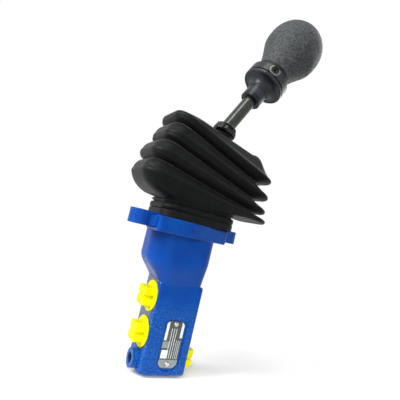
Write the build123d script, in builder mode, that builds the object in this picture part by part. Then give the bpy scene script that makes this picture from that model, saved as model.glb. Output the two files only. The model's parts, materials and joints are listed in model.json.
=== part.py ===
from build123d import *
import os
from math import asin, cos, degrees, radians, sin, sqrt

# Hydraulic pilot joystick valve, single axis, flange mounted, millimetres.
# Origin: lever axis at the underside of the mounting flange, where it meets the panel.
# +Z runs up the valve towards the lever, +X is the way the lever leans, the nameplate is on -Y.

os.makedirs("parts", exist_ok=True)

# ---- casting ----
face_x = 18.7
right_x = 20.2
body_front_y = -15.6
body_back_y = 14.4
body_bottom_z = -109.4
body_corner = 3.0
cast_allowance = 0.8
block_top_z = -38.0
# height, then centre x, centre y and radius of the left and right corner circles
shoulder_levels = [
    (-19.0, (-15.5, 4.5, 17.0), (9.5, 11.3, 10.0)),
    (-25.5, (-14.8, 5.8, 15.2), (10.2, 10.6, 9.0)),
    (-32.0, (-13.6, 8.4, 10.4), (11.6, 9.8, 7.4)),
    (-40.5, (-13.0, 10.6, 5.4), (13.4, 9.0, 5.4)),
]
flange_top_z = 11.5
ear_bottom_z = 1.8
ear_thick = 11.2
ear_root = 4.0
ear_edge = 0.8
ear_radius = 8.5
ear_angle = 17.0
bolt_circle = 100.0
bolt_hole_r = 4.5
flange_corners = [(-38, -30), (-9, -30), (30, -15), (37, 2)]

# ---- ports ----
port_r = 6.6
port_depth = 5.5
spot_face_r = 13.6
cross_drill_r = 2.5
left_port_y = -3.2
left_port_z = (-51.8, -80.1)
right_port = (1.0, -98.8)
back_port = (6.0, -54.5)
gallery_y, gallery_z = -5.0, -100.5
gallery_boss_r = 7.3
gallery_boss_x = -25.2
gallery_r = 4.2

# ---- port caps ----
cap_disc_r = 12.2
cap_disc_t = 1.6
cap_reach = 9.0
cap_grip = 14.4
cap_notch = 2.4
cap_shank_r = 6.5
cap_shank = 5.0

# ---- name plate ----
plate_x = 2.8
recess_width = 19.4
recess_top_z = -65.8
recess_bottom_z = -106.0
recess_depth = 1.0
plate_width = 16.0
plate_height = 37.0
plate_thick = 0.6
rivet_z = (-69.0, -100.4)

# ---- plungers, springs and spools, one set each side of the lever ----
bore_x = 10.0
plunger_r = 3.5
guide_r = 7.0
guide_bottom_z = -8.0
chamber_r = 6.5
chamber_bottom_z = -44.0
spool_r = 3.0
spool_bore_bottom_z = -104.0
plunger_top_z = 20.35
fit_gap = 0.03

# ---- pivot ----
pivot_z = 26.0
pin_r = 3.0
rocker_half_y = 8.0
cheek_inner_y = 9.0
cheek_outer_y = 13.0
plate_top_z = 16.5
ledge_top_z = 17.5
cover_half_x, cover_half_y, cover_corner = 33.0, 23.5, 12.0
rim_top_z = 22.0

# ---- lever ----
lever_tilt = 28.1
lever_origin_z = 73.7
lever_bend_z = 45.0
neck_bend_s = 28.0
rod_r = 6.0
stud_r = 5.0
nut_flats = 17.0
collar_s = (65.0, 84.5, 97.0)
collar_tube_r = 9.5
collar_rim_r = 19.5
knob_bottom_s = 97.8
knob_centre_s = 138.6
knob_r = 27.0

# ---- boot ----
wall = 2.0
boot_foot_z = 17.8
boot_base_z = 26.0
# centre x, centre z, tilt, half length, half width of each fold, from the flange up
folds = [
    (4.3, 34.7, 8.3, 60.0, 27.0),
    (4.8, 47.4, 13.2, 58.0, 27.0),
    (8.5, 61.5, 16.0, 55.0, 26.5),
    (10.8, 77.0, 17.2, 53.0, 26.0),
]
fold_corner = 14.0
fold_depth = 8.0
fold_depth_right = 15.0

SIDES = (("left", -1), ("right", 1))


def write(piece, name):
    """Label a finished piece and write its STEP file."""
    piece.part.label = name
    export_step(piece.part, f"parts/{name}.step")


def tilted(x, z, angle):
    """Plane across the lever direction at (x, z), leaning by angle towards +X."""
    a = radians(angle)
    return Plane(origin=(x, 0, z), x_dir=(cos(a), 0, -sin(a)), z_dir=(sin(a), 0, cos(a)))


def along_lever(s):
    """Plane across the upper lever at distance s from the point where its axis meets X = 0."""
    a = radians(lever_tilt)
    return tilted(s * sin(a), lever_origin_z + s * cos(a), lever_tilt)


lever_axis = Axis((0, 0, lever_origin_z), (sin(radians(lever_tilt)), 0, cos(radians(lever_tilt))))
lever_section = Plane(origin=(0, 0, lever_origin_z), x_dir=along_lever(0).x_dir, z_dir=(0, -1, 0))
port_plane_left = Plane(origin=(-face_x, 0, 0), x_dir=(0, -1, 0), z_dir=(-1, 0, 0))
port_plane_right = Plane(origin=(right_x, 0, 0), x_dir=(0, 1, 0), z_dir=(1, 0, 0))
port_plane_back = Plane(origin=(0, body_back_y, 0), x_dir=(-1, 0, 0), z_dir=(0, 1, 0))
front_plane = Plane(origin=(0, body_front_y, 0), x_dir=(1, 0, 0), z_dir=(0, -1, 0))
body_mid_y = (body_front_y + body_back_y) / 2
body_depth = body_back_y - body_front_y


# ================= housing =================

flange_corner = 2.5
flange_outline = flange_corners + [(-x, -y) for x, y in flange_corners]


def at_ear_root(vertex):
    """True where the outer side of an ear meets the long edge of the flange."""
    a = radians(ear_angle)
    along = vertex.X * cos(a) + vertex.Y * sin(a)
    across = vertex.Y * cos(a) - vertex.X * sin(a)
    on_side = abs(abs(across) - ear_radius) < 0.01 and abs(along) < bolt_circle / 2 - 1
    return on_side and across * along > 0


def shoulder_outline(left, right):
    """Four corner circles; make_hull turns them into the swollen upper outline of the casting."""
    for centre_x, centre_y, radius in (left, right):
        with Locations((centre_x, centre_y), (centre_x, -centre_y)):
            Circle(radius)
    make_hull()


with BuildPart() as casting:
    # narrow valve block; its left wall stands proud by the machining allowance
    with BuildSketch(Plane.XY.offset(body_bottom_z)):
        with Locations(((right_x - face_x - cast_allowance) / 2, body_mid_y)):
            RectangleRounded(right_x + face_x + cast_allowance, body_depth, body_corner)
    extrude(amount=block_top_z - body_bottom_z)
    fillet(casting.edges().group_by(Axis.Z)[0], radius=2.0)
    fillet(casting.edges().group_by(Axis.Z)[-1], radius=1.6)
    # the casting swells towards the flange, mostly to the left
    for level, left, right in shoulder_levels:
        with BuildSketch(Plane.XY.offset(level)):
            shoulder_outline(left, right)
    loft()
    top_level, left, right = shoulder_levels[0]
    with BuildSketch(Plane.XY.offset(top_level)):
        shoulder_outline(left, right)
    extrude(amount=-top_level + 1.0)

with BuildPart() as ears:
    with BuildSketch(Plane.XY.offset(ear_bottom_z)):
        SlotCenterToCenter(bolt_circle, 2 * ear_radius, rotation=ear_angle)
    extrude(amount=ear_thick)
    fillet(ears.edges().group_by(Axis.Z)[0] + ears.edges().group_by(Axis.Z)[-1], radius=ear_edge)
    with BuildSketch(Plane.XY.offset(ear_bottom_z)):
        Circle(bolt_circle / 2 - ear_radius - 3.0)
    extrude(amount=ear_thick, mode=Mode.SUBTRACT)

with BuildPart() as flange:
    # seating plate
    with BuildSketch():
        with BuildLine():
            Polyline(flange_outline, close=True)
        make_face()
        fillet(vertices(), radius=flange_corner)
    extrude(amount=flange_top_z)
    chamfer(flange.edges().group_by(Axis.Z)[0], length=0.8)
    chamfer(flange.edges().group_by(Axis.Z)[-1], length=0.6)
    # two ears on a diagonal, blended into the plate by root fillets
    with BuildSketch(Plane.XY.offset(ear_bottom_z + ear_edge)):
        with BuildLine():
            Polyline(flange_outline, close=True)
        make_face()
        fillet(vertices(), radius=flange_corner)
        SlotCenterToCenter(bolt_circle, 2 * ear_radius, rotation=ear_angle)
        fillet([v for v in vertices() if at_ear_root(v)], radius=ear_root)
    extrude(amount=flange_top_z - 0.6 - ear_bottom_z - ear_edge)
    add(ears.part)

with BuildPart() as housing:
    add(casting.part)
    add(flange.part)
    # bolt holes through the two ears
    with Locations(Plane.XY.offset(ear_bottom_z + ear_thick)):
        with PolarLocations(bolt_circle / 2, 2, start_angle=ear_angle):
            Hole(bolt_hole_r, depth=ear_thick)
    # boss over the pressure gallery
    with BuildSketch(port_plane_left):
        with Locations((-gallery_y, gallery_z)):
            Circle(gallery_boss_r)
    extrude(amount=-face_x - gallery_boss_x)
    # milled port face, with a round end about each port
    with BuildSketch(port_plane_left):
        with Locations(*[(-left_port_y, z) for z in left_port_z]):
            Circle(spot_face_r)
        with Locations((-2.0, -65.0)):
            Rectangle(26.0, 56.0)
    extrude(amount=2.0, mode=Mode.SUBTRACT)
    with Locations(port_plane_left):
        with Locations(*[(-left_port_y, z) for z in left_port_z]):
            Hole(port_r, depth=port_depth)
            Hole(cross_drill_r, depth=face_x - bore_x)
        with Locations((-left_port_y, left_port_z[1])):
            Hole(cross_drill_r, depth=face_x + bore_x)
    with Locations(port_plane_right):
        with Locations(right_port):
            Hole(port_r, depth=port_depth)
            Hole(cross_drill_r, depth=right_x + bore_x)
    with Locations(port_plane_back):
        with Locations((-back_port[0], back_port[1])):
            Hole(port_r, depth=port_depth)
            Hole(cross_drill_r, depth=body_back_y)
    with Locations(Plane(origin=(gallery_boss_x, 0, 0), x_dir=(0, -1, 0), z_dir=(-1, 0, 0))):
        with Locations((-gallery_y, gallery_z)):
            Hole(gallery_r, depth=9.0)
            Hole(cross_drill_r, depth=bore_x - gallery_boss_x)
    # stepped bore on each side: guide seat, spring chamber, spool bore
    with Locations(Plane.XY.offset(flange_top_z)):
        with Locations((-bore_x, 0), (bore_x, 0)):
            Hole(guide_r, depth=flange_top_z - guide_bottom_z)
            Hole(chamber_r, depth=flange_top_z - chamber_bottom_z)
            Hole(spool_r, depth=flange_top_z - spool_bore_bottom_z)
        with GridLocations(44, 26, 2, 2):
            Hole(2.5, depth=10)
    # recess for the name plate
    with BuildSketch(front_plane):
        with Locations((plate_x, (recess_top_z + recess_bottom_z + recess_width / 2) / 2)):
            Rectangle(recess_width, recess_top_z - recess_bottom_z - recess_width / 2)
        with Locations((plate_x, recess_bottom_z + recess_width / 2)):
            Circle(recess_width / 2)
    extrude(amount=-recess_depth, mode=Mode.SUBTRACT)
    with Locations(Plane(origin=(0, body_front_y + recess_depth, 0), x_dir=(1, 0, 0), z_dir=(0, -1, 0))):
        with Locations(*[(plate_x, z) for z in rivet_z]):
            Hole(1.2, depth=4.0)
write(housing, "housing")


# ================= port caps and gallery screw =================

def port_cap(plane, position, name):
    """Push-in transport cap: shank in the port, thin disc on the face, square grip notched on each side."""
    with BuildPart() as cap:
        with BuildSketch(plane):
            with Locations(position):
                Circle(cap_disc_r)
        extrude(amount=cap_disc_t)
        chamfer(cap.edges().filter_by(GeomType.CIRCLE).group_by(SortBy.LENGTH)[-1], length=0.4)
        with BuildSketch(plane.offset(cap_disc_t)):
            with Locations(position):
                RectangleRounded(cap_grip, cap_grip, 1.4)
            with Locations(position):
                with PolarLocations(cap_grip / 2, 4):
                    SlotOverall(cap_notch * 2, cap_notch, mode=Mode.SUBTRACT)
        extrude(amount=cap_reach - cap_disc_t)
        with BuildSketch(plane):
            with Locations(position):
                Circle(cap_shank_r)
        extrude(amount=-cap_shank)
        with Locations(plane.offset(cap_reach)):
            with Locations(position):
                Hole(1.0, depth=8.0)
    write(cap, name)


port_cap(port_plane_left, (-left_port_y, left_port_z[0]), "port_cap_upper_left")
port_cap(port_plane_left, (-left_port_y, left_port_z[1]), "port_cap_lower_left")
port_cap(port_plane_right, right_port, "port_cap_right")
port_cap(port_plane_back, (-back_port[0], back_port[1]), "port_cap_back")

gallery_plane = Plane(origin=(gallery_boss_x, 0, 0), x_dir=(0, -1, 0), z_dir=(-1, 0, 0))
with BuildPart() as gallery_screw:
    with BuildSketch(gallery_plane.offset(-8.5)):
        with Locations((-gallery_y, gallery_z)):
            Circle(gallery_r)
    extrude(amount=7.5)
    with BuildSketch(gallery_plane.offset(-1.0)):
        with Locations((-gallery_y, gallery_z)):
            RegularPolygon(2.9, 6)
    extrude(amount=-4.0, mode=Mode.SUBTRACT)
write(gallery_screw, "gallery_screw")


# ================= name plate =================

with BuildPart() as name_plate:
    with BuildSketch(Plane(origin=(0, body_front_y + recess_depth, 0), x_dir=(1, 0, 0), z_dir=(0, -1, 0))):
        with Locations((plate_x, (recess_top_z - 0.8) - plate_height / 2)):
            Rectangle(plate_width, plate_height)
        chamfer(vertices().group_by(Axis.Z)[0], length=3.0)
        with Locations(*[(plate_x, z) for z in rivet_z]):
            Circle(1.3, mode=Mode.SUBTRACT)
    extrude(amount=plate_thick)
write(name_plate, "name_plate")

with BuildPart() as plate_rivets:
    for z in rivet_z:
        seat_y = body_front_y + recess_depth
        with BuildSketch(Plane(origin=(0, seat_y, 0), x_dir=(1, 0, 0), z_dir=(0, -1, 0))):
            with Locations((plate_x, z)):
                Circle(1.2)
        extrude(amount=plate_thick)
        with BuildSketch(Plane(origin=(0, seat_y - plate_thick, 0), x_dir=(1, 0, 0), z_dir=(0, -1, 0))):
            with Locations((plate_x, z)):
                Circle(2.0)
        extrude(amount=0.9, taper=25)
        with BuildSketch(Plane(origin=(0, seat_y, 0), x_dir=(1, 0, 0), z_dir=(0, -1, 0))):
            with Locations((plate_x, z)):
                Circle(1.2)
        extrude(amount=-3.5)
write(plate_rivets, "plate_rivets")


# ================= cover plate, pivot bracket, pin =================

with BuildPart() as cover_plate:
    with BuildSketch(Plane.XY.offset(flange_top_z)):
        RectangleRounded(2 * cover_half_x, 2 * cover_half_y, cover_corner)
    extrude(amount=ledge_top_z - flange_top_z)
    fillet(cover_plate.edges().group_by(Axis.Z)[-1], radius=0.8)
    with BuildSketch(Plane.XY.offset(ledge_top_z)):
        RectangleRounded(60, 42, 10)
    extrude(amount=rim_top_z - ledge_top_z)
    with BuildSketch(Plane.XY.offset(plate_top_z)):
        RectangleRounded(56, 38.4, 8.5)
    extrude(amount=rim_top_z - plate_top_z, mode=Mode.SUBTRACT)
    with Locations(Plane.XY.offset(plate_top_z)):
        with Locations((-bore_x, 0), (bore_x, 0)):
            Hole(4.4)
        with GridLocations(44, 26, 2, 2):
            CounterBoreHole(2.75, 4.4, 3.0)
        with Locations((0, 16), (0, -16)):
            Hole(1.7)
write(cover_plate, "cover_plate")

with BuildPart() as cover_screws:
    with BuildSketch(Plane.XY.offset(plate_top_z - 3.0)):
        with GridLocations(44, 26, 2, 2):
            Circle(4.2)
    extrude(amount=2.8)
    with BuildSketch(Plane.XY.offset(plate_top_z - 3.0)):
        with GridLocations(44, 26, 2, 2):
            Circle(2.45)
    extrude(amount=-11.0)
    with BuildSketch(Plane.XY.offset(plate_top_z - 0.2)):
        with GridLocations(44, 26, 2, 2):
            RegularPolygon(2.3, 6)
    extrude(amount=-1.8, mode=Mode.SUBTRACT)
write(cover_screws, "cover_screws")

bracket_base_z = 18.0
with BuildPart() as pivot_bracket:
    with BuildSketch(Plane.XY.offset(plate_top_z)):
        Rectangle(11, 37.6)
    extrude(amount=bracket_base_z - plate_top_z)
    for side in (-1, 1):
        inner = side * cheek_inner_y
        with BuildSketch(Plane(origin=(0, inner, 0), x_dir=(-side, 0, 0), z_dir=(0, side, 0))):
            with Locations((0, (plate_top_z + pivot_z) / 2)):
                Rectangle(11, pivot_z - plate_top_z)
            with Locations((0, pivot_z)):
                Circle(5.5)
                Circle(pin_r, mode=Mode.SUBTRACT)
        extrude(amount=cheek_outer_y - cheek_inner_y)
    with Locations(Plane.XY.offset(bracket_base_z)):
        with Locations((0, 16), (0, -16)):
            Hole(1.8)
write(pivot_bracket, "pivot_bracket")

with BuildPart() as bracket_screws:
    for side in (-1, 1):
        with BuildSketch(Plane.XY.offset(bracket_base_z)):
            with Locations((0, 16 * side)):
                Circle(2.8)
        extrude(amount=2.4)
        with BuildSketch(Plane.XY.offset(bracket_base_z)):
            with Locations((0, 16 * side)):
                Circle(1.65)
        extrude(amount=-6.0)
        with BuildSketch(Plane.XY.offset(bracket_base_z + 2.4)):
            with Locations((0, 16 * side)):
                RegularPolygon(1.5, 6)
        extrude(amount=-1.4, mode=Mode.SUBTRACT)
write(bracket_screws, "bracket_screws")

pin_half = 14.8
groove_y = 13.1
with BuildPart() as pivot_pin:
    with BuildSketch(Plane.XZ.offset(-pin_half)):
        with Locations((0, pivot_z)):
            Circle(pin_r)
    extrude(amount=2 * pin_half)
    for side in (-1, 1):
        with BuildSketch(Plane(origin=(0, side * groove_y, 0), x_dir=(-side, 0, 0), z_dir=(0, side, 0))):
            with Locations((0, pivot_z)):
                Circle(pin_r + 1)
                Circle(pin_r - 0.5, mode=Mode.SUBTRACT)
        extrude(amount=0.8, mode=Mode.SUBTRACT)
write(pivot_pin, "pivot_pin")

with BuildPart() as pin_circlips:
    for side in (-1, 1):
        with BuildSketch(Plane(origin=(0, side * groove_y, 0), x_dir=(-side, 0, 0), z_dir=(0, side, 0))):
            with Locations((0, pivot_z)):
                Circle(5.0)
                Circle(pin_r - 0.45, mode=Mode.SUBTRACT)
            with Locations((0, pivot_z - 4)):
                Rectangle(3.0, 5.0, mode=Mode.SUBTRACT)
        extrude(amount=0.7)
write(pin_circlips, "pin_circlips")


# ================= plunger, springs and spool of each side =================

seat_top_z = -16.0
seat_bottom_z = -18.5
seat_hole_r = 1.8
collar_top_z = -34.0
collar_bottom_z = -36.0


dome_r = 5.0
dome_angle = degrees(asin(plunger_r / dome_r))
dome_edge_z = plunger_top_z - dome_r + sqrt(dome_r**2 - plunger_r**2)


def guide_bush(name, x):
    with BuildPart() as bush:
        with BuildSketch(Plane.XY.offset(guide_bottom_z)):
            with Locations((x, 0)):
                Circle(guide_r - 0.02)
                Circle(plunger_r + fit_gap, mode=Mode.SUBTRACT)
        extrude(amount=flange_top_z - guide_bottom_z)
        with BuildSketch(Plane.XY.offset(8.0)):
            with Locations((x, 0)):
                Circle(5.2)
        extrude(amount=flange_top_z - 8.0, mode=Mode.SUBTRACT)
        with BuildSketch(Plane.XY.offset(-1.0)):
            with Locations((x, 0)):
                Circle(guide_r + 1)
                Circle(5.4, mode=Mode.SUBTRACT)
        extrude(amount=2.4, mode=Mode.SUBTRACT)
    write(bush, name)


def ring(name, x, z, height, inner, outer):
    with BuildPart() as seal:
        with BuildSketch(Plane.XY.offset(z)):
            with Locations((x, 0)):
                Circle(outer)
                Circle(inner, mode=Mode.SUBTRACT)
        extrude(amount=height)
        chamfer(seal.edges(), length=0.35)
    write(seal, name)


def plunger(name, x):
    with BuildPart() as rod:
        with BuildSketch(Plane(origin=(x, 0, 0), x_dir=(1, 0, 0), z_dir=(0, -1, 0))):
            with BuildLine():
                Polyline((0, plunger_top_z), (0, seat_top_z), (5.6, seat_top_z), (5.6, -12.8), (5.0, -12.2),
                         (plunger_r, -12.2), (plunger_r, dome_edge_z))
                CenterArc((0, plunger_top_z - dome_r), dome_r, 90 - dome_angle, dome_angle)
            make_face()
        revolve(axis=Axis((x, 0, 0), (0, 0, 1)))
        with Locations((x, 0, seat_top_z)):
            Cylinder(2.4, 9.0, align=(Align.CENTER, Align.CENTER, Align.MIN), mode=Mode.SUBTRACT)
    write(rod, name)


def spring_seat(name, x):
    with BuildPart() as seat:
        with BuildSketch(Plane.XY.offset(seat_bottom_z + 1.0)):
            with Locations((x, 0)):
                Circle(6.2)
                Circle(seat_hole_r, mode=Mode.SUBTRACT)
        extrude(amount=seat_top_z - seat_bottom_z - 1.0)
        with BuildSketch(Plane.XY.offset(seat_bottom_z)):
            with Locations((x, 0)):
                Circle(4.5)
                Circle(seat_hole_r, mode=Mode.SUBTRACT)
        extrude(amount=1.0)
    write(seat, name)


def coil_spring(name, x, radius, wire, low, high, turns):
    """Round coil between two faces; the wire stands wire/2 clear of both."""
    pitch = (high - low - wire) / turns
    with BuildPart() as spring:
        with BuildLine():
            Helix(pitch, high - low - wire, radius, center=(x, 0, low + wire / 2))
        with BuildSketch(Plane(origin=(x + radius, 0, low + wire / 2), x_dir=(1, 0, 0), z_dir=(0, 1, 0))):
            Rectangle(wire, wire)
        sweep(is_frenet=True)
    write(spring, name)


def spool(name, x):
    """Stem with a head in the plunger, spring collar, two lands with a metering waist between."""
    with BuildPart() as body:
        with BuildSketch(Plane(origin=(x, 0, 0), x_dir=(1, 0, 0), z_dir=(0, -1, 0))):
            with BuildLine():
                Polyline((0, -92), (spool_r - fit_gap, -92), (spool_r - fit_gap, -76), (2.0, -75),
                         (2.0, -62), (spool_r - fit_gap, -61), (spool_r - fit_gap, -45), (2.2, -44),
                         (2.2, collar_bottom_z), (4.2, collar_bottom_z), (4.2, collar_top_z),
                         (1.7, collar_top_z), (1.7, -13.5), (2.1, -13.4), (2.1, -12), (0, -12), close=True)
            make_face()
        revolve(axis=Axis((x, 0, 0), (0, 0, 1)))
        with Locations(Plane(origin=(x, 0, -92), x_dir=(1, 0, 0), z_dir=(0, 0, -1))):
            Hole(1.1, depth=24)
        with Locations(Plane(origin=(x, -5, -69), x_dir=(1, 0, 0), z_dir=(0, -1, 0))):
            Hole(0.8, depth=10)
    write(body, name)


for side_name, side in SIDES:
    centre = side * bore_x
    guide_bush(f"guide_bush_{side_name}", centre)
    ring(f"plunger_seal_{side_name}", centre, 8.2, 2.8, plunger_r + 0.04, 5.1)
    ring(f"bush_oring_{side_name}", centre, -0.8, 2.0, 5.5, 6.9)
    plunger(f"plunger_{side_name}", centre)
    spring_seat(f"spring_seat_{side_name}", centre)
    coil_spring(f"control_spring_{side_name}", centre, 3.1, 1.0, collar_top_z, seat_bottom_z, 4)
    coil_spring(f"return_spring_{side_name}", centre, 5.55, 1.2, chamber_bottom_z, seat_bottom_z + 1.0, 5)
    spool(f"spool_{side_name}", centre)


# ================= rocker =================

arm_low_z, arm_high_z = 22.8, 28.6
boss_top_z = 36.0
pad_r = 5.0
with BuildPart() as rocker:
    with BuildSketch(Plane.XZ.offset(-rocker_half_y)):
        with Locations((0, pivot_z)):
            Circle(6.9)
        with Locations((0, (arm_low_z + arm_high_z) / 2)):
            RectangleRounded(29, arm_high_z - arm_low_z, 2)
        with Locations((0, (pivot_z + boss_top_z) / 2)):
            Rectangle(12.8, boss_top_z - pivot_z)
    extrude(amount=2 * rocker_half_y)
    fillet(rocker.edges().filter_by(Axis.Z), radius=2.0)
    with Locations(Plane.XZ.offset(-rocker_half_y)):
        with Locations((0, pivot_z)):
            Hole(4.5)
    with Locations(Plane.XY.offset(boss_top_z)):
        Hole(stud_r, depth=5.0)
    with Locations(Plane.XY.offset(arm_high_z)):
        with Locations((-bore_x, 0), (bore_x, 0)):
            Hole(2.05)
write(rocker, "rocker")

with BuildPart() as rocker_bush:
    with BuildSketch(Plane.XZ.offset(-rocker_half_y)):
        with Locations((0, pivot_z)):
            Circle(4.5)
            Circle(pin_r + fit_gap, mode=Mode.SUBTRACT)
    extrude(amount=2 * rocker_half_y)
write(rocker_bush, "rocker_bush")

pad_centre_z = pivot_z - 0.5
screw_r, head_r = 2.0, 3.6
with BuildPart() as pressure_screws:
    for side in (-1, 1):
        with BuildSketch(Plane(origin=(side * bore_x, 0, 0), x_dir=(1, 0, 0), z_dir=(0, -1, 0))):
            with BuildLine():
                Polyline((0, pad_centre_z - pad_r), (0, 33.5), (screw_r, 33.5), (screw_r, arm_low_z),
                         (head_r, arm_low_z), (head_r, pad_centre_z - sqrt(pad_r**2 - head_r**2)))
                CenterArc((0, pad_centre_z), pad_r, -90, degrees(asin(head_r / pad_r)))
            make_face()
        revolve(axis=Axis((side * bore_x, 0, 0), (0, 0, 1)))
write(pressure_screws, "pressure_screws")

with BuildPart() as pressure_screw_nuts:
    with BuildSketch(Plane.XY.offset(arm_high_z)):
        with Locations((-bore_x, 0), (bore_x, 0)):
            RegularPolygon(3.5, 6, major_radius=False, rotation=30)
            Circle(2.05, mode=Mode.SUBTRACT)
    extrude(amount=3.2)
write(pressure_screw_nuts, "pressure_screw_nuts")


# ================= lever, collar, knob =================

lever_start_z = 41.0
rod_end_s = 122.0
with BuildPart() as lever_arm:
    end = along_lever(99.0).origin
    bend = along_lever(neck_bend_s).origin
    with BuildLine():
        FilletPolyline((0, 0, lever_start_z), (0, 0, lever_bend_z), bend, end, radius=28)
    with BuildSketch(Plane.XY.offset(lever_start_z)):
        Circle(rod_r)
    sweep()
    with BuildSketch(Plane.XY.offset(lever_start_z)):
        Circle(stud_r - 0.02)
    extrude(amount=-9.8)
    with BuildSketch(along_lever(99.0)):
        Circle(4.5)
    extrude(amount=rod_end_s - 99.0)
write(lever_arm, "lever_arm")

with BuildPart() as lever_lock_nut:
    with BuildSketch(Plane.XY.offset(boss_top_z)):
        RegularPolygon(nut_flats / 2, 6, major_radius=False)
        Circle(stud_r, mode=Mode.SUBTRACT)
    extrude(amount=5.0)
write(lever_lock_nut, "lever_lock_nut")

tube_end, rim_low, band_top = collar_s
radial = Vector(0, -1, 0).rotate(lever_axis, -20.0)
with BuildPart() as collar:
    with BuildSketch(lever_section):
        with BuildLine():
            Polyline((rod_r + 0.02, tube_end), (collar_tube_r - 0.6, tube_end), (collar_tube_r, tube_end + 0.6),
                     (collar_tube_r, 76.0))
            ThreePointArc((collar_tube_r, 76.0), (11.0, 82.0), (collar_rim_r - 0.8, rim_low))
            Polyline((collar_rim_r - 0.8, rim_low), (collar_rim_r, rim_low + 0.8), (collar_rim_r, rim_low + 2.6),
                     (collar_rim_r - 1.2, rim_low + 2.9), (collar_rim_r - 1.2, rim_low + 3.7),
                     (collar_rim_r, rim_low + 4.0), (collar_rim_r, band_top - 0.8),
                     (collar_rim_r - 0.8, band_top), (rod_r + 0.02, band_top), (rod_r + 0.02, tube_end))
        make_face()
    revolve(axis=lever_axis)
    with BuildSketch(Plane(along_lever(93.2).origin, x_dir=lever_axis.direction, z_dir=radial)):
        Circle(2.6)
    extrude(amount=25.0, mode=Mode.SUBTRACT)
write(collar, "collar")

with BuildPart() as collar_screw:
    with BuildSketch(Plane(along_lever(93.2).origin + radial * (rod_r + 0.03), x_dir=lever_axis.direction,
                           z_dir=radial)):
        Circle(2.55)
    extrude(amount=collar_rim_r - rod_r - 0.6)
    with BuildSketch(Plane(along_lever(93.2).origin + radial * (collar_rim_r - 0.57),
                           x_dir=lever_axis.direction, z_dir=radial)):
        RegularPolygon(1.5, 6)
    extrude(amount=-3.0, mode=Mode.SUBTRACT)
write(collar_screw, "collar_screw")

insert_r, insert_top_s = 8.0, 124.0
with BuildPart() as knob:
    with BuildSketch(lever_section):
        with BuildLine():
            Line((insert_r, knob_bottom_s), (14.6, knob_bottom_s))
            Line((14.6, knob_bottom_s), (15.8, knob_bottom_s + 1.2))
            Spline((15.8, knob_bottom_s + 1.2), (16.6, 106.0), (19.4, 114.0), (24.2, 124.5),
                   (knob_r, knob_centre_s), tangents=((0, 1), (0, 1)))
            ThreePointArc((knob_r, knob_centre_s),
                          (knob_r * cos(radians(45)), knob_centre_s + knob_r * sin(radians(45))),
                          (0, knob_centre_s + knob_r))
            Line((0, knob_centre_s + knob_r), (0, insert_top_s))
            Line((0, insert_top_s), (insert_r, insert_top_s))
            Line((insert_r, insert_top_s), (insert_r, knob_bottom_s))
        make_face()
    revolve(axis=lever_axis)
write(knob, "knob")

with BuildPart() as knob_insert:
    with BuildSketch(lever_section):
        with BuildLine():
            Polyline((rod_r + 0.02, knob_bottom_s), (insert_r, knob_bottom_s), (insert_r, insert_top_s),
                     (0, insert_top_s), (0, rod_end_s + 0.5), (4.52, rod_end_s + 0.5), (4.52, 99.0),
                     (rod_r + 0.02, 99.0), close=True)
        make_face()
    revolve(axis=lever_axis)
write(knob_insert, "knob_insert")


# ================= boot and its tie =================

neck_a = Vector(0, 0, lever_bend_z)
neck_b = along_lever(neck_bend_s).origin
neck_dir = (neck_b - neck_a).normalized()
neck_tilt = 90 - neck_dir.get_angle(Vector(1, 0, 0))


def on_neck(z):
    """Plane across the middle stretch of the lever at height z."""
    point = neck_a + neck_dir * ((z - lever_bend_z) / neck_dir.Z)
    return tilted(point.X, point.Z, neck_tilt)


def fold_waist(low, high):
    """Plane and half sizes of the waist between two folds, deeper on the side the lever leans to."""
    x, z, lean, length, width = [(a + b) / 2 for a, b in zip(low, high)]
    shift = (fold_depth_right - fold_depth) / 2
    return tilted(x - shift, z, lean), length - fold_depth - shift, width - fold_depth


def boot_sections(inset):
    """Outline of the boot at each level as plane, half length, half width, corner radius."""
    base = (0, boot_base_z, 0, 31.0, 22.0)
    levels = [(Plane.XY.offset(boot_foot_z), cover_half_x, cover_half_y, cover_corner),
              (Plane.XY.offset(rim_top_z + 0.5), cover_half_x, cover_half_y, cover_corner),
              (Plane.XY.offset(boot_base_z - 1.5), 31.0, 22.0, 10.5)]
    stack = [base] + folds
    for low, high in zip(stack, stack[1:]):
        if low is not base:
            plane, length, width = fold_waist(low, high)
            levels.append((plane, length, width, fold_corner - 5))
        x, z, lean, length, width = high
        levels.append((tilted(x, z, lean), length, width, fold_corner))
    levels.append((tilted(9.5, 84.0, 17.0), 28.0, 17.0, 12.0))
    levels.append((on_neck(88.5), 11.0, 11.0, 8.5))
    return [(p, a - inset, b - inset, r - inset) for p, a, b, r in levels]


def pleated_solid(inset):
    """Solid from the foot up to the neck, one ruled loft through every fold and waist."""
    with BuildPart() as solid:
        for plane, length, width, corner in boot_sections(inset):
            with BuildSketch(plane):
                RectangleRounded(2 * length, 2 * width, corner)
        loft(ruled=True)
    return solid.part


neck_bore = rod_r + 0.6
boot_outside = pleated_solid(0)
boot_inside = pleated_solid(wall)
with BuildPart() as boot:
    add(boot_outside)
    with BuildSketch(on_neck(88.0)):
        Circle(9.2)
    extrude(amount=11.0)
    add(boot_inside, mode=Mode.SUBTRACT)
    with BuildSketch(on_neck(82.0)):
        Circle(neck_bore)
    extrude(amount=30.0, mode=Mode.SUBTRACT)
write(boot, "boot")

with BuildPart() as boot_tie:
    with BuildSketch(on_neck(93.5)):
        Circle(10.4)
        Circle(9.3, mode=Mode.SUBTRACT)
    extrude(amount=3.6)
    with BuildSketch(on_neck(93.0)):
        with Locations((-8.5, -7.0)):
            Rectangle(6.0, 4.6, rotation=40)
    extrude(amount=4.6)
    with BuildSketch(on_neck(90.0)):
        Circle(9.3)
    extrude(amount=12.0, mode=Mode.SUBTRACT)
write(boot_tie, "boot_tie")
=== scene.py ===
import json
from math import cos, exp, pi, radians, sin, sqrt, tau

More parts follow.
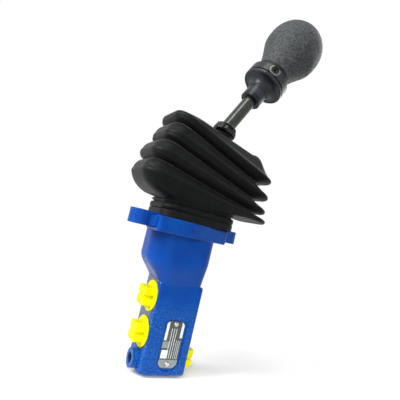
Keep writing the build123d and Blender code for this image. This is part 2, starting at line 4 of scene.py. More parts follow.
import bmesh
import bpy
from mathutils import Euler, Matrix, Vector

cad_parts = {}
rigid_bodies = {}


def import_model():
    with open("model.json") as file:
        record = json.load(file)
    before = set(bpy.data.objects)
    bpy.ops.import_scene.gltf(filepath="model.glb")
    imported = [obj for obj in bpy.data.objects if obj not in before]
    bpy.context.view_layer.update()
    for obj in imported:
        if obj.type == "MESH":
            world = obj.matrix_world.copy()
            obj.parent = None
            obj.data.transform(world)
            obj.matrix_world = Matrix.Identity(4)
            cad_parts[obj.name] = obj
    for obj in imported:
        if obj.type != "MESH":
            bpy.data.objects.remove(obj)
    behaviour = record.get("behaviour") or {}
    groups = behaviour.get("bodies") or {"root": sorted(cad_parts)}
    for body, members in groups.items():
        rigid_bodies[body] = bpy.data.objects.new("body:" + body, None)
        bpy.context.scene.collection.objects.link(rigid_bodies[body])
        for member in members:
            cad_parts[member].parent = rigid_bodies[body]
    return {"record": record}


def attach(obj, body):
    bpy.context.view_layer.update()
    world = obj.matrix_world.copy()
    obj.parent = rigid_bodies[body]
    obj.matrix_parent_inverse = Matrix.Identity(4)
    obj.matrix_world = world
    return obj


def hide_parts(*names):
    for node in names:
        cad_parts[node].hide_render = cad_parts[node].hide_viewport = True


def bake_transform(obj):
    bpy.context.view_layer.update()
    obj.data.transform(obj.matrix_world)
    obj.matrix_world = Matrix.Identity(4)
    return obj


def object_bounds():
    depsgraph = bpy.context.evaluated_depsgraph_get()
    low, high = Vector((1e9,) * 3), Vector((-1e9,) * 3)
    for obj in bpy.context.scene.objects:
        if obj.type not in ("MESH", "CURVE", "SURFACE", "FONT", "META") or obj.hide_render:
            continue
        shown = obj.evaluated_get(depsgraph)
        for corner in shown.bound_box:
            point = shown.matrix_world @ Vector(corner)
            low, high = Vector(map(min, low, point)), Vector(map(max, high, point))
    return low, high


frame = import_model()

cad_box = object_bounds()
MM = 0.001

# ---------------------------------------------------------------- driving sizes, millimetres

LEVER_TILT = 28.1          # degrees, upper lever from the valve axis
LEVER_ORIGIN_Z = 73.7      # where the upper lever's axis meets X = 0
NECK_BEND_S = 28.0         # upper bend of the lever, along the upper lever's axis
LEVER_BEND_Z = 45.0        # lower bend of the lever
WALL = 1.6                 # boot's wall
# centre x, centre z, tilt, half length, half width of each fold of the boot, from the foot up
FOLDS = [
    (4.3, 34.7, 8.3, 60.0, 27.0),
    (4.8, 47.4, 13.2, 58.0, 27.0),
    (8.5, 61.5, 16.0, 55.0, 26.5),
    (10.8, 77.0, 17.2, 53.0, 26.0),
]
FOLD_CORNER = 14.0
FOLD_DEPTH = 8.0           # from lip to waist, left and front
FOLD_DEPTH_RIGHT = 15.0
SHEET_STEPS = 8            # rings from a lip to a waist
LIP_R, LIP_STEPS = 1.9, 6  # rounded edge of each fold
RING_POINTS = 160
# height, half length, half width and corner of the rings of the boot's foot
FOOT_RINGS = (
    (17.8, 32.4, 22.9, 11.5), (18.3, 33.0, 23.5, 12.0), (21.3, 33.0, 23.5, 12.0),
    (22.0, 32.5, 23.0, 12.0), (22.5, 31.2, 21.8, 11.0), (23.2, 30.9, 21.6, 11.0),
    (23.7, 32.2, 22.6, 11.5), (24.6, 32.6, 22.9, 11.5), (25.2, 32.0, 22.4, 11.5),
)
NECK_TOP_Z = 87.0          # where the crown of the boot meets its neck
NECK_TILT = 13.8
# height and radius of the rings of the neck
NECK_RINGS = (
    (NECK_TOP_Z, 10.2), (88.2, 9.7), (89.4, 9.7), (89.9, 9.2), (90.6, 9.2), (91.1, 9.6), (91.8, 9.6),
    (92.4, 8.6), (93.0, 8.3), (97.0, 8.3), (97.6, 8.8), (98.2, 9.5), (99.4, 9.6), (100.4, 9.2), (101.2, 8.4),
)
CROWN_STEPS = 18
# hollow and swelling right of the neck, in the crown and in the top fold's lip: height, place, width
CROWN_WAVES = ((-9.5, 14.0, 9.0), (4.2, 31.0, 7.0))
LIP_WAVES = ((-2.0, 11.0, 9.0), (2.0, 30.0, 7.0))
CROWN_SAG = 3.4            # hang of the top fold's long sides

TIE_Z = 95.3
TIE_R, TIE_HEIGHT, TIE_STEPS, TIE_TOOTH = 9.4, 3.9, 132, 0.3
TIE_HEAD_ANGLE = 222.0     # degrees, place of the head round the neck

PORT_FACE_X, PORT_FACE_TOP = -18.7, -38.0
# below PEEL_FROM the orange peel's crests are also painted lighter blue, a painted highlight
PEEL_FROM, PEEL_TO = -46.0, -66.0      # the paint turns from smooth to orange peel
KNOB_BASE = (102.4, 103.2)             # dark band below the knob's grain, along the upper lever
TUBE_END = (69.0, 69.4)                # black end of the collar, along the upper lever
PATCH_R = (5.6, 5.0)                   # pale patch round the grub screw
PATCH_RING_R, PATCH_RING_WIDTH = 3.1, 0.5


def lever_point(s):
    """Point on the upper lever's axis, s millimetres from where that axis meets X = 0."""
    a = radians(LEVER_TILT)
    return Vector((s * sin(a), 0, LEVER_ORIGIN_Z + s * cos(a)))


NECK_LOW = Vector((0, 0, LEVER_BEND_Z))
NECK_DIR = (lever_point(NECK_BEND_S) - NECK_LOW).normalized()


def neck_point(z):
    """Point on the middle stretch of the lever at height z."""
    return NECK_LOW + NECK_DIR * ((z - LEVER_BEND_Z) / NECK_DIR.z)


# mouth of the grub screw's hole in the collar's rim
SCREW_MOUTH = lever_point(93.2) + Vector((-0.3017, -0.9397, 0.1611)) * 19.5


# ---------------------------------------------------------------- node helpers

def new_material(name):
    """Empty node material with its principled shader."""
    mat = bpy.data.materials.new(name)
    mat.use_nodes = True
    return mat, mat.node_tree.nodes, mat.node_tree.links, mat.node_tree.nodes["Principled BSDF"]


def noise(nodes, links, coords, per_mm, detail=4.0, roughness=0.55):
    """Noise texture in the object's own space; per_mm is how many cells a millimetre holds."""
    tex = nodes.new("ShaderNodeTexNoise")
    tex.inputs["Scale"].default_value = per_mm * 1000
    tex.inputs["Detail"].default_value = detail
    tex.inputs["Roughness"].default_value = roughness
    links.new(coords, tex.inputs["Vector"])
    return tex.outputs["Fac"]


def ramp(nodes, links, fac, low, high, stops=(0.35, 0.65)):
    """Two-colour ramp."""
    node = nodes.new("ShaderNodeValToRGB")
    node.color_ramp.elements[0].position = stops[0]
    node.color_ramp.elements[1].position = stops[1]
    node.color_ramp.elements[0].color = (*low, 1)
    node.color_ramp.elements[1].color = (*high, 1)
    links.new(fac, node.inputs["Fac"])
    return node.outputs["Color"]


def remap(nodes, links, fac, low, high):
    """Scale a 0..1 value to low..high."""
    node = nodes.new("ShaderNodeMapRange")
    node.inputs["To Min"].default_value = low
    node.inputs["To Max"].default_value = high
    links.new(fac, node.inputs["Value"])
    return node.outputs["Result"]


def math_node(nodes, links, operation, *values):
    """Maths node; each value is a number or a socket."""
    node = nodes.new("ShaderNodeMath")
    node.operation = operation
    for place, value in zip(node.inputs, values):
        if isinstance(value, (int, float)):
            place.default_value = value
        else:
            links.new(value, place)
    return node.outputs[0]


def mixed(nodes, links, fac, low, high):
    """Colour mix; each colour is a tuple or a socket."""
    node = nodes.new("ShaderNodeMix")
    node.data_type = "RGBA"
    links.new(fac, node.inputs["Factor"])
    for place, colour in ((node.inputs[6], low), (node.inputs[7], high)):
        if isinstance(colour, tuple):
            place.default_value = (*colour, 1)
        else:
            links.new(colour, place)
    return node.outputs[2]


def step_up(nodes, links, value, low, high):
    """0 below low, 1 above high, smooth between; low and high in the value's own units."""
    node = nodes.new("ShaderNodeMapRange")
    node.interpolation_type = "SMOOTHSTEP"
    node.inputs["From Min"].default_value = min(low, high)
    node.inputs["From Max"].default_value = max(low, high)
    node.inputs["To Min"].default_value = 0.0 if low < high else 1.0
    node.inputs["To Max"].default_value = 1.0 if low < high else 0.0
    links.new(value, node.inputs["Value"])
    return node.outputs["Result"]


def along_axis(nodes, links, coords):
    """Distance up the upper lever's axis, in metres."""
    dot = nodes.new("ShaderNodeVectorMath")
    dot.operation = "DOT_PRODUCT"
    dot.inputs[1].default_value = lever_point(1) - lever_point(0)
    links.new(coords, dot.inputs[0])
    start = LEVER_ORIGIN_Z * cos(radians(LEVER_TILT)) * MM
    return math_node(nodes, links, "SUBTRACT", dot.outputs["Value"], start)


def bumps(nodes, links, *layers):
    """Chain of bump nodes; each layer is height socket, distance in mm, strength."""
    normal = None
    for height, distance, strength in layers:
        bump = nodes.new("ShaderNodeBump")
        bump.inputs["Distance"].default_value = distance * MM
        if isinstance(strength, (int, float)):
            bump.inputs["Strength"].default_value = strength
        else:
            links.new(strength, bump.inputs["Strength"])
        links.new(height, bump.inputs["Height"])
        if normal:
            links.new(normal, bump.inputs["Normal"])
        normal = bump.outputs["Normal"]
    return normal


def surface(name, low, high, rough, metallic=0.0, patch=0.15, grain=2.0, bump_mm=0.05, gloss=0.5,
            sheen=0.0):
    """Material with drifting colour, uneven gloss and a fine grain in the normal."""
    mat, nodes, links, shader = new_material(name)
    coords = nodes.new("ShaderNodeTexCoord").outputs["Object"]
    drift = noise(nodes, links, coords, patch)
    links.new(ramp(nodes, links, drift, low, high), shader.inputs["Base Color"])
    links.new(remap(nodes, links, drift, rough[0], rough[1]), shader.inputs["Roughness"])
    shader.inputs["Metallic"].default_value = metallic
    shader.inputs["Specular IOR Level"].default_value = gloss
    if sheen:
        shader.inputs["Sheen Weight"].default_value = sheen
        shader.inputs["Sheen Roughness"].default_value = 0.35
    bump = nodes.new("ShaderNodeBump")
    bump.inputs["Distance"].default_value = bump_mm * MM
    bump.inputs["Strength"].default_value = 1.0
    links.new(noise(nodes, links, coords, grain, 3.0), bump.inputs["Height"])
    links.new(bump.outputs["Normal"], shader.inputs["Normal"])
    return mat


def srgb(r, g, b):
    """Linear colour of an 8-bit screen colour."""
    screen = (r / 255, g / 255, b / 255)
    return tuple(c / 12.92 if c <= 0.04045 else ((c + 0.055) / 1.055) ** 2.4 for c in screen)


# ---------------------------------------------------------------- materials

def cast_paint():
    """Blue paint on a casting: smooth high up, orange peel low down with its crests painted lighter as
    painted highlights, bare metal on the milled port face.
    """
    mat, nodes, links, shader = new_material("blue_cast_paint")
    coords = nodes.new("ShaderNodeTexCoord").outputs["Object"]
    split = nodes.new("ShaderNodeSeparateXYZ")
    links.new(coords, split.inputs[0])
    low = step_up(nodes, links, split.outputs["Z"], PEEL_FROM * MM, PEEL_TO * MM)
    drift = noise(nodes, links, coords, 0.06, 2.0)
    peel = noise(nodes, links, coords, 0.70, 2.0)
    fine = noise(nodes, links, coords, 1.6, 3.0)
    smooth_paint = ramp(nodes, links, drift, srgb(0, 54, 132), srgb(0, 66, 148), (0.3, 0.7))
    # orange peel colour: the lighter blue on the peel's crests is a painted highlight; the peel's relief is
    # in the bump below
    peel_paint_with_painted_highlights = ramp(nodes, links, peel, srgb(0, 56, 130), srgb(22, 90, 170), (0.40, 0.68))
    paint = mixed(nodes, links, low, smooth_paint, peel_paint_with_painted_highlights)
    milled = math_node(nodes, links, "COMPARE", split.outputs["X"], PORT_FACE_X * MM, 0.06 * MM)
    below = step_up(nodes, links, split.outputs["Z"], (PORT_FACE_TOP + 0.1) * MM, PORT_FACE_TOP * MM)
    milled = math_node(nodes, links, "MULTIPLY", milled, below)
    bare = ramp(nodes, links, fine, srgb(80, 90, 112), srgb(116, 124, 144))
    links.new(mixed(nodes, links, milled, paint, bare), shader.inputs["Base Color"])
    links.new(math_node(nodes, links, "MULTIPLY", milled, 0.6), shader.inputs["Metallic"])
    links.new(remap(nodes, links, drift, 0.24, 0.36), shader.inputs["Roughness"])
    shader.inputs["Specular IOR Level"].default_value = 0.16
    peel_depth = math_node(nodes, links, "MULTIPLY", low, 0.9)
    waves = noise(nodes, links, coords, 0.12, 2.0)
    normal = bumps(nodes, links, (peel, 1.1, peel_depth), (waves, 1.0, 0.35), (fine, 0.05, 0.6))
    links.new(normal, shader.inputs["Normal"])
    return mat


def knob_plastic():
    """Black plastic with a cast grain; a smooth dark band where it meets the collar."""
    mat, nodes, links, shader = new_material("grained_black_plastic")
    coords = nodes.new("ShaderNodeTexCoord").outputs["Object"]
    grain = noise(nodes, links, coords, 0.55, 5.0, 0.65)
    drift = noise(nodes, links, coords, 0.05, 2.0)
    body = ramp(nodes, links, grain, srgb(26, 28, 30), srgb(72, 75, 76), (0.34, 0.68))
    above = step_up(nodes, links, along_axis(nodes, links, coords), *(h * MM for h in KNOB_BASE))
    links.new(mixed(nodes, links, above, srgb(9, 11, 12), body), shader.inputs["Base Color"])
    links.new(remap(nodes, links, drift, 0.46, 0.58), shader.inputs["Roughness"])
    shader.inputs["Specular IOR Level"].default_value = 0.22
    links.new(bumps(nodes, links, (grain, 0.8, above)), shader.inputs["Normal"])
    return mat


def collar_plastic():
    """Dark satin collar: black ribbed tube end, pale machined patch round the grub screw."""
    mat, nodes, links, shader = new_material("dark_collar")
    coords = nodes.new("ShaderNodeTexCoord").outputs["Object"]
    grain = noise(nodes, links, coords, 1.8, 4.0)
    drift = noise(nodes, links, coords, 0.10, 2.0)
    satin = ramp(nodes, links, drift, srgb(24, 27, 31), srgb(36, 39, 44), (0.3, 0.7))
    above = step_up(nodes, links, along_axis(nodes, links, coords), *(h * MM for h in TUBE_END))
    colour = mixed(nodes, links, above, srgb(8, 9, 16), satin)
    away = nodes.new("ShaderNodeVectorMath")
    away.operation = "DISTANCE"
    away.inputs[1].default_value = SCREW_MOUTH * MM
    links.new(coords, away.inputs[0])
    near = step_up(nodes, links, away.outputs["Value"], *(r * MM for r in PATCH_R))
    pale = ramp(nodes, links, grain, srgb(84, 90, 82), srgb(118, 124, 114))
    ring = math_node(nodes, links, "COMPARE", away.outputs["Value"],
                     PATCH_RING_R * MM, PATCH_RING_WIDTH * MM)
    patch = mixed(nodes, links, ring, pale, srgb(10, 12, 12))
    links.new(mixed(nodes, links, near, colour, patch), shader.inputs["Base Color"])
    links.new(math_node(nodes, links, "MULTIPLY", near, 0.6), shader.inputs["Metallic"])
    links.new(remap(nodes, links, drift, 0.30, 0.42), shader.inputs["Roughness"])
    shader.inputs["Specular IOR Level"].default_value = 0.25
    links.new(bumps(nodes, links, (grain, 0.05, 0.8)), shader.inputs["Normal"])
    return mat


def plate_print():
    """Name plate without words: dark field, pale bars, ruled lines and one pale square."""
    mat, nodes, links, shader = new_material("printed_plate")
    coords = nodes.new("ShaderNodeTexCoord").outputs["Object"]
    split = nodes.new("ShaderNodeSeparateXYZ")
    links.new(coords, split.inputs[0])
    speck = noise(nodes, links, coords, 1.2, 4.0)
    dark = ramp(nodes, links, speck, srgb(52, 56, 54), srgb(84, 88, 86))
    light = ramp(nodes, links, speck, srgb(196, 202, 200), srgb(226, 230, 228))
    grey = ramp(nodes, links, speck, srgb(112, 118, 116), srgb(142, 148, 146))
    colour = dark
    # left, right, lower and upper edge of each printed field, millimetres
    fields = [(-5.2, 10.8, -103.2, -97.0, grey), (-5.2, 1.2, -88.0, -83.0, grey)]
    fields += [(-4.8, -2.6, -82.0, -67.4, light), (8.2, 10.4, -79.5, -67.4, light)]
    fields += [(-4.6, 1.0, -96.0, -89.6, light)]
    fields += [(x, x + 0.45, -96.0, -72.5, light) for x in (0.2, 2.3, 4.2)]
    fields += [(x, x + 0.35, -96.0, -81.5, light) for x in (6.2, 7.8, 9.2)]
    for x0, x1, z0, z1, ink in fields:
        across, down = (
            math_node(nodes, links, "COMPARE", split.outputs[axis], (a + b) / 2 * MM, (b - a) / 2 * MM)
            for axis, a, b in (("X", x0, x1), ("Z", z0, z1)))
        colour = mixed(nodes, links, math_node(nodes, links, "MULTIPLY", across, down), colour, ink)
    links.new(colour, shader.inputs["Base Color"])
    shader.inputs["Metallic"].default_value = 0.3
    links.new(remap(nodes, links, speck, 0.32, 0.46), shader.inputs["Roughness"])
    links.new(bumps(nodes, links, (speck, 0.02, 1.0)), shader.inputs["Normal"])
    return mat


BLUE = cast_paint()
KNOB = knob_plastic()
COLLAR = collar_plastic()
PLATE = plate_print()
YELLOW = surface("yellow_cap_plastic", srgb(206, 200, 0), srgb(220, 213, 0), (0.42, 0.55),
                 grain=3.0, bump_mm=0.02, gloss=0.10)
RUBBER = surface("boot_rubber", srgb(4, 5, 5), srgb(10, 11, 11), (0.46, 0.58),
                 grain=0.9, bump_mm=0.03, gloss=0.11, sheen=0.10)
NYLON = surface("black_nylon", srgb(16, 17, 18), srgb(28, 29, 30), (0.35, 0.5),
                grain=2.5, bump_mm=0.02, gloss=0.25)
BLACK_PLATE = surface("black_plate", srgb(8, 9, 10), srgb(16, 17, 18), (0.4, 0.55),
                      grain=1.4, bump_mm=0.05, gloss=0.12)
ROD = surface("blackened_steel", srgb(42, 45, 41), srgb(56, 59, 53), (0.22, 0.28),
              metallic=0.6, grain=0.8, bump_mm=0.002)
DARK_STEEL = surface("dark_steel", srgb(52, 53, 54), srgb(78, 78, 78), (0.3, 0.45),
                     metallic=0.9, grain=1.5, bump_mm=0.03)
BRIGHT_STEEL = surface("ground_steel", srgb(170, 170, 168), srgb(205, 205, 203), (0.2, 0.34),
                       metallic=1.0, grain=2.0, bump_mm=0.01)
SPRING = surface("spring_wire", srgb(120, 120, 122), srgb(160, 160, 160), (0.25, 0.4),
                 metallic=1.0, grain=2.0, bump_mm=0.01)
BRASS = surface("turned_brass", srgb(190, 150, 70), srgb(216, 178, 96), (0.25, 0.4),
                metallic=1.0, grain=2.0, bump_mm=0.01)

FINISH = {
    "blue_paint": BLUE, "yellow_cap": YELLOW, "dark_steel": DARK_STEEL, "bright_steel": BRIGHT_STEEL,
    "spring_steel": SPRING, "black_plate": BLACK_PLATE, "brass": BRASS, "seal_rubber": RUBBER,
    "boot_rubber": RUBBER, "black_nylon": NYLON, "collar_grey": COLLAR, "knob_black": KNOB,
    "plate_metal": PLATE,
}


def dress(obj, material):
    """Give every slot of an object one material."""
    if not obj.material_slots:
        obj.data.materials.append(material)
    for place in obj.material_slots:
        place.material = material


for part in frame["record"]["subparts"]:
    dress(bpy.data.objects[part["node"]], FINISH[part["material_slot"]])
dress(bpy.data.objects["lever_arm"], ROD)
dress(bpy.data.objects["collar_screw"], DARK_STEEL)


# ---------------------------------------------------------------- mesh helpers

def add_mesh(name, points, faces, material, smooth=True):
    """New object from points in millimetres."""
    mesh = bpy.data.meshes.new(name)
    mesh.from_pydata([tuple(p * MM) for p in points], [], faces)
    mesh.validate()
    mesh.update()
    obj = bpy.data.objects.new(name, mesh)
    bpy.context.collection.objects.link(obj)
    mesh.materials.append(material)
    if smooth:
        mesh.polygons.foreach_set("use_smooth", [True] * len(mesh.polygons))
    return obj


def tube_faces(rings, per_ring, loop):
    """Quads between successive rings, joined end to end when loop is set."""
    faces = []
    for i in range(rings if loop else rings - 1):
        a, b = i * per_ring, (i + 1) % rings * per_ring
        for j in range(per_ring):
            k = (j + 1) % per_ring
            faces.append((a + j, a + k, b + k, b + j))
    return faces


def frame_at(centre, direction):
    """Centre with side directions: u in the XZ plane, v along Y."""
    d = direction.normalized()
    return centre, Vector((d.z, 0, -d.x)), Vector((0, 1, 0))


def rounded_shape(half_u, half_v, corner, count=RING_POINTS):
    """Rounded rectangle as (u, v) pairs, spaced evenly by angle of its corner arcs."""
    corner = min(corner, half_u - 0.05, half_v - 0.05)
    quarter = count // 4
    points = []
    for q in range(4):
        su, sv = ((1, 1), (-1, 1), (-1, -1), (1, -1))[q]
        for i in range(quarter):
            a = (q + i / quarter) * pi / 2
            points.append((su * (half_u - corner) + corner * cos(a),
                           sv * (half_v - corner) + corner * sin(a)))
    return points


# ---------------------------------------------------------------- boot

def mix(a, b, t):
    """Blend two tuples."""
    return tuple(p + (q - p) * t for p, q in zip(a, b))


def smooth(t):
    """Ease from 0 to 1."""
    t = min(1.0, max(0.0, t))
    return t * t * (3 - 2 * t)


def fall(t, side, power):
    """Share of the way from a lip to a waist: a round roll on the left (side 0), a thin sheet right."""
    roll = 1 - sqrt(max(0.0, 1 - t ** power))
    sheet = t ** 0.92
    return roll + (sheet - roll) * side


def off_plane(place, distance):
    """Place moved along its own axis."""
    x, z, lean = place
    return x + distance * sin(radians(lean)), z + distance * cos(radians(lean)), lean


def lip_rings(place, half, width, corner):
    """Rounded edge of one fold, from its lower to its upper sheet, sharper on the left than on the right."""
    rings = []
    outer = rounded_shape(half, width, corner)
    share = [0.25 + 0.75 * side for side in side_of(outer, half)]
    for i in range(LIP_STEPS + 1):
        a = (i / LIP_STEPS - 0.5) * pi
        pull = LIP_R * (1 - cos(a))
        drawn = rounded_shape(half - pull, width - pull, corner)
        rings.append((off_plane(place, LIP_R * sin(a)), between(outer, drawn, share)))
    return rings


def lay_ring(place, shape, lifts=None):
    """Points of a ring: place is centre x, centre z and tilt; shape is its (u, v) pairs, lifts are in Z."""
    x, z, lean = place
    tilt = radians(lean)
    centre, u, v = frame_at(Vector((x, 0, z)), Vector((sin(tilt), 0, cos(tilt))))
    points = [centre + u * a + v * b for a, b in shape]
    if lifts:
        points = [p + Vector((0, 0, lift)) for p, lift in zip(points, lifts)]
    return points


def between(low, high, share):
    """Ring shape whose points have each gone their own share of the way from low to high."""
    return [(a[0] + (b[0] - a[0]) * s, a[1] + (b[1] - a[1]) * s) for a, b, s in zip(low, high, share)]


def wave(waves, u):
    """Sum of the hollows and swellings at u."""
    return sum(h * exp(-((u - at) / wide) ** 2) for h, at, wide in waves)


def sag(shape, half, width):
    """Lift of each point of the top fold's lip: its hang and its waves, strongest on the long sides."""
    return [(wave(LIP_WAVES, u) - CROWN_SAG * (1 - (u / half) ** 2)) * (abs(v) / width) ** 2
            for u, v in shape]


def side_of(shape, half):
    """0 at the left end of a ring, 1 at its right end."""
    return [smooth((u / half + 1) / 2) for u, _ in shape]


def foot_rings(lip):
    """Rings of the foot and of the sheet that rises from it to the lowest lip."""
    rings = [((0.0, z, 0.0), rounded_shape(half, width, corner)) for z, half, width, corner in FOOT_RINGS]
    top = ((0.4, 25.8, 0.6), rounded_shape(31.0, 21.8, 11.0))
    place, shape = lip
    for i in range(SHEET_STEPS):
        t = i / SHEET_STEPS
        share = [1 - 0.6 * fall(1 - t, side, 2.4) - 0.4 * (1 - t) for side in side_of(shape, FOLDS[0][3])]
        rings.append((mix(top[0], place, t), between(top[1], shape, share)))
    return rings


def pleat_rings(low_fold, high_fold, lower, upper, hangs):
    """Rings from a lip in to the waist and out to the next lip; hangs says the upper sheet sags."""
    half, width = (low_fold[3] + high_fold[3]) / 2, (low_fold[4] + high_fold[4]) / 2
    shift = (FOLD_DEPTH_RIGHT - FOLD_DEPTH) / 2
    waist = [(u - shift, v) for u, v in
             rounded_shape(half - FOLD_DEPTH - shift, width - FOLD_DEPTH, FOLD_CORNER - 5)]
    x, z, lean = mix(lower[0], upper[0], 0.5)
    middle = (x, z + 1.2, lean + 1.6)
    inward, outward = range(1, SHEET_STEPS + 1), range(SHEET_STEPS - 1, 0, -1)
    rings = []
    for (place, shape), order, power, loose in ((lower, inward, 1.8, False), (upper, outward, 2.4, hangs)):
        for j in order:
            t = j / SHEET_STEPS
            share = [fall(t, side, power) for side in side_of(shape, half)]
            hang = (1 - t) if loose else 0.0
            lifts = [hang * lift for lift in sag(shape, *high_fold[3:])]
            rings.append((mix(place, middle, t), between(shape, waist, share), lifts))
    return rings


def crown_rings(lip, half, width):
    """Rings from the top lip over the crown to the neck."""
    place, shape = lip
    top = (neck_point(NECK_TOP_Z).x, NECK_TOP_Z, NECK_TILT)
    mouth = rounded_shape(10.4, 10.4, 9.9)
    rings = []
    for i in range(1, CROWN_STEPS):
        s = i / CROWN_STEPS
        ring = between(shape, mouth, [s] * len(shape))
        lifts = [low * (1 - s) ** 2 + smooth(s * 5) * wave(CROWN_WAVES, u)
                 for (u, _), low in zip(ring, sag(shape, half, width))]
        rings.append((mix(place, top, 1 - (1 - s) ** 3.2), ring, lifts))
    return rings


def boot_rings():
    """Rings of the boot from foot to neck lip."""
    lips = [lip_rings((x, z, lean), half, width, FOLD_CORNER) for x, z, lean, half, width in FOLDS]
    rings = foot_rings(lips[0][0]) + lips[0]
    for i, (lower, upper) in enumerate(zip(lips, lips[1:])):
        top = upper is lips[-1]
        rings += pleat_rings(FOLDS[i], FOLDS[i + 1], lower[-1], upper[0], top)
        rings += [(*ring, sag(ring[1], *FOLDS[-1][3:])) for ring in upper] if top else upper
    rings += crown_rings(lips[-1][-1], *FOLDS[-1][3:])
    rings += [((neck_point(z).x, z, NECK_TILT), rounded_shape(r, r, r)) for z, r in NECK_RINGS]
    return [lay_ring(*ring) for ring in rings]


def thicken(obj, wall):
    """Give an open skin its wall, inwards, and keep the result as the mesh."""
    grow = obj.modifiers.new("wall", "SOLIDIFY")
    grow.thickness = wall * MM
    grow.offset = -1.0
    grow.use_even_offset = False
    seen = obj.evaluated_get(bpy.context.evaluated_depsgraph_get())
    mesh = bpy.data.meshes.new_from_object(seen)
    obj.modifiers.clear()
    obj.data = mesh


def make_boot():
    """Hollow boot: pleated outer skin with a wall inside it."""
    rings = boot_rings()
    points = [p for ring in rings for p in ring]
    boot = add_mesh("boot_skin", points, tube_faces(len(rings), len(rings[0]), False), RUBBER)
    thicken(boot, WALL)
    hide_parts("boot")
    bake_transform(boot)


make_boot()


# ---------------------------------------------------------------- cable tie round the boot's neck

def tie_band(centre, u, v, axis):
    """Toothed strap: points and faces of a closed ring."""
    points, faces = [], []
    for i in range(TIE_STEPS):
        a = i * tau / TIE_STEPS
        out = u * cos(a) + v * sin(a)
        tooth = TIE_TOOTH * (i % 3 == 0)
        profile = [(TIE_R, -0.5), (TIE_R + 0.8, -0.5), (TIE_R + 1.1, -0.42), (TIE_R + 1.1, -0.32),
                   (TIE_R + 0.85 + tooth, -0.26), (TIE_R + 0.85 + tooth, 0.26), (TIE_R + 1.1, 0.32),
                   (TIE_R + 1.1, 0.42), (TIE_R + 0.8, 0.5), (TIE_R, 0.5)]
        points += [centre + out * r + axis * (h * TIE_HEIGHT) for r, h in profile]
    size = len(points) // TIE_STEPS
    for i in range(TIE_STEPS):
        a, b = i * size, (i + 1) % TIE_STEPS * size
        faces += [(a + j, b + j, b + (j + 1) % size, a + (j + 1) % size) for j in range(size)]
    return points, faces


def soft_block(centre, axes, halves, edge):
    """Block with rounded edges: points and faces."""
    shape = bmesh.new()
    bmesh.ops.create_cube(shape, size=2.0)
    for vert in shape.verts:
        vert.co = Vector(c * h for c, h in zip(vert.co, halves))
    bmesh.ops.bevel(shape, geom=shape.edges[:], offset=edge, segments=3, affect="EDGES", profile=0.5)
    shape.verts.index_update()
    points = [centre + axes[0] * v.co.x + axes[1] * v.co.y + axes[2] * v.co.z for v in shape.verts]
    faces = [tuple(v.index for v in face.verts) for face in shape.faces]
    shape.free()
    return points, faces


def make_tie():
    """Cable tie: toothed strap, ratchet head with its pawl window, and a cut tail."""
    axis = NECK_DIR
    u, v = Vector((axis.z, 0, -axis.x)), Vector((0, 1, 0))
    centre = neck_point(TIE_Z)
    angle = radians(TIE_HEAD_ANGLE)
    out, side = u * cos(angle) + v * sin(angle), -u * sin(angle) + v * cos(angle)
    head = centre + out * (TIE_R + 2.5)
    chunks = [tie_band(centre, u, v, axis)]
    chunks.append(soft_block(head, (out, side, axis), (2.3, 3.1, 0.55), 0.3))
    for way in (-1, 1):
        chunks.append(soft_block(head + axis * (1.5 * way), (out, side, axis), (2.3, 3.1, 0.9), 0.35))
        chunks.append(soft_block(head + side * (2.4 * way), (out, side, axis), (2.3, 0.7, 2.4), 0.35))
    chunks.append(soft_block(head + out * 0.2 + side * 4.0, (out, side, axis), (0.6, 2.6, 1.5), 0.3))
    points, faces = [], []
    for some, more in chunks:
        faces += [tuple(k + len(points) for k in face) for face in more]
        points += some
    tie = add_mesh("tie_strap_and_head", points, faces, NYLON, smooth=False)
    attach(tie, "lever")
    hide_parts("boot_tie")


make_tie()


# ---------------------------------------------------------------- light, floor, camera

def area_light(name, place, aim, size, power, glints=True):
    """Soft square lamp aimed at a point; glints says whether gloss shows it."""
    lamp = bpy.data.lights.new(name, "AREA")
    lamp.size = size
    lamp.energy = power
    obj = bpy.data.objects.new(name, lamp)
    bpy.context.collection.objects.link(obj)
    obj.location = place
    obj.visible_glossy = glints
    obj.rotation_euler = (Vector(aim) - Vector(place)).to_track_quat("-Z", "Y").to_euler()


# metres and watts
CENTRE = (0.02, 0.0, 0.05)
area_light("key", (-0.85, -0.05, 0.40), CENTRE, 0.45, 12.0)
area_light("fill", (-0.25, -0.85, 0.25), CENTRE, 0.7, 8.6, glints=False)
area_light("back", (0.70, 0.20, 0.50), CENTRE, 0.6, 3.2)
area_light("glint", (-0.38, -0.30, 0.85), CENTRE, 0.34, 4.0)

WORLD_WHITE, WORLD_LIGHT = 1.0, 0.12   # strength where it is seen, and as light on the valve


def white_world():
    """Even surroundings: white to the camera, in gloss and through glass, dim as light on the valve."""
    world = bpy.data.worlds.new("studio")
    bpy.context.scene.world = world
    world.use_nodes = True
    nodes, links = world.node_tree.nodes, world.node_tree.links
    path = nodes.new("ShaderNodeLightPath")
    seen = path.outputs["Is Camera Ray"]
    for ray in ("Is Transmission Ray", "Is Glossy Ray"):
        seen = math_node(nodes, links, "MAXIMUM", seen, path.outputs[ray])
    strength = remap(nodes, links, seen, WORLD_LIGHT, WORLD_WHITE)
    links.new(strength, nodes["Background"].inputs["Strength"])
    nodes["Background"].inputs["Color"].default_value = (1, 1, 1, 1)


white_world()


FLOOR_SOLID, FLOOR_END = 0.05, 0.30    # metres: where the floor starts to fade, and where it has gone
FLOOR_SIDES = 64


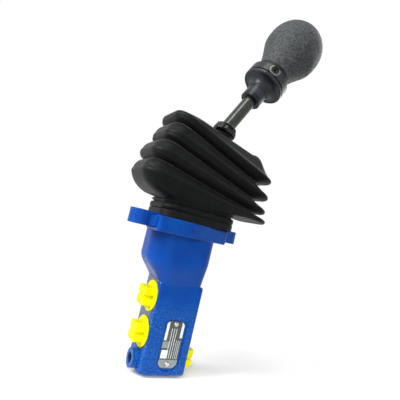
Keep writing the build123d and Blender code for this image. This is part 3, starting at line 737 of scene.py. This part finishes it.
def floor_material():
    """Pale floor that fades into the white surroundings away from the valve."""
    mat = surface("pale_floor", (0.93, 0.93, 0.93), (0.97, 0.97, 0.97), (0.8, 0.9),
                  patch=0.02, grain=0.5, bump_mm=0.01)
    nodes, links = mat.node_tree.nodes, mat.node_tree.links
    coords = nodes.new("ShaderNodeTexCoord").outputs["Object"]
    reach = nodes.new("ShaderNodeVectorMath")
    reach.operation = "LENGTH"
    links.new(coords, reach.inputs[0])
    fade = nodes.new("ShaderNodeMapRange")
    fade.interpolation_type = "SMOOTHSTEP"
    fade.inputs["From Min"].default_value = FLOOR_SOLID
    fade.inputs["From Max"].default_value = FLOOR_END
    links.new(reach.outputs["Value"], fade.inputs["Value"])
    clear = nodes.new("ShaderNodeBsdfTransparent")
    blend = nodes.new("ShaderNodeMixShader")
    links.new(fade.outputs["Result"], blend.inputs["Fac"])
    links.new(nodes["Principled BSDF"].outputs[0], blend.inputs[1])
    links.new(clear.outputs[0], blend.inputs[2])
    links.new(blend.outputs[0], nodes["Material Output"].inputs["Surface"])
    return mat


def make_floor():
    """Plain pale floor under the valve."""
    z = cad_box[0].z - 0.0005
    mesh = bpy.data.meshes.new("floor")
    turns = [i * tau / FLOOR_SIDES for i in range(FLOOR_SIDES)]
    rim = [(FLOOR_END * cos(a), FLOOR_END * sin(a), 0) for a in turns]
    mesh.from_pydata(rim, [], [tuple(range(FLOOR_SIDES))])
    floor = bpy.data.objects.new("floor", mesh)
    floor.location = (0, 0, z)
    bpy.context.collection.objects.link(floor)
    mesh.materials.append(floor_material())


make_floor()

CAMERA_PLACE = Vector((-132.88, -273.23, 8.25)) * MM
CAMERA_YAW, CAMERA_PITCH, CAMERA_ROLL = radians(26.78), radians(4.52), radians(13.50)
CAMERA_LENS = 32.38


def make_camera():
    """Camera of the main view, rolled so that the valve leans to the right."""
    data = bpy.data.cameras.new("camera")
    data.lens = CAMERA_LENS
    data.sensor_width = 36.0
    data.clip_start = 0.01
    camera = bpy.data.objects.new("camera", data)
    bpy.context.collection.objects.link(camera)
    turn = Euler((pi / 2 + CAMERA_PITCH, 0, -CAMERA_YAW)).to_matrix() @ Matrix.Rotation(CAMERA_ROLL, 3, "Z")
    camera.rotation_euler = turn.to_euler()
    camera.location = CAMERA_PLACE
    bpy.context.scene.camera = camera


make_camera()
bpy.context.scene.view_settings.view_transform = "Standard"
